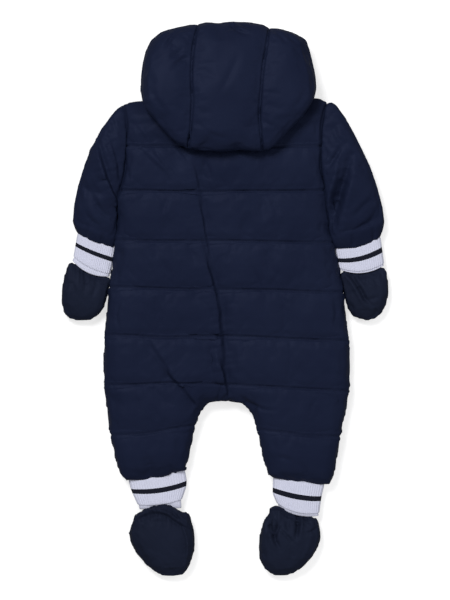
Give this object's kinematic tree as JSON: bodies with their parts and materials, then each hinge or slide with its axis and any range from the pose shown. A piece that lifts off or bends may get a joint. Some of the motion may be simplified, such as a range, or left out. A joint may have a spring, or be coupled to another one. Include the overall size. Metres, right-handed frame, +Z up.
{
  "type": "padded baby snowsuit with hood, mittens and booties",
  "caption": "One-piece padded baby snowsuit lying on its front: quilted back, hood up, ribbed cuffs with a stripe, mittens and booties attached, zip underneath.",
  "frame": {"origin": "middle of the bounding box, on the surface that the garment lies on", "axes": "+Y towards the hood, +X towards the wearer's right sleeve seen from behind, +Z up from the surface through the back"},
  "size_m": [0.4254, 0.7199, 0.061],
  "materials": {
    "shell_cloth": "navy woven shell cloth with a low sheen, padded and quilted",
    "bootie_cloth": "the same navy cloth, a little darker",
    "rib_knit": "white rib knit with one navy stripe",
    "hood_trim_cloth": "soft white trim",
    "zip_tape": "navy zip tape",
    "zip_metal": "satin grey"
  },
  "bodies": {
    "garment": {"back_panel": "shell_cloth", "bootie_sole_left": "bootie_cloth", "bootie_sole_right": "bootie_cloth", "bootie_upper_left": "bootie_cloth", "bootie_upper_right": "bootie_cloth", "cuff_ankle_left": "rib_knit", "cuff_ankle_right": "rib_knit", "cuff_wrist_left": "rib_knit", "cuff_wrist_right": "rib_knit", "front_panel_left": "shell_cloth", "front_panel_right": "shell_cloth", "front_zip": "zip_tape", "hood_centre": "shell_cloth", "hood_left": "shell_cloth", "hood_right": "shell_cloth", "hood_trim": "hood_trim_cloth", "mitten_back_left": "bootie_cloth", "mitten_back_right": "bootie_cloth", "mitten_palm_left": "bootie_cloth", "mitten_palm_right": "bootie_cloth", "sleeve_left": "shell_cloth", "sleeve_right": "shell_cloth", "zip_slider": "zip_metal"},
    "pull_tab": {"zip_pull": "zip_metal"}
  },
  "joints": [
    {"name": "pull_tab_swing", "type": "hinge", "parent": "garment", "child": "pull_tab", "pos_m": [0.003, 0.197, 0.0034], "axis": [1, 0, 0], "range_deg": [0, 160]}
  ]
}
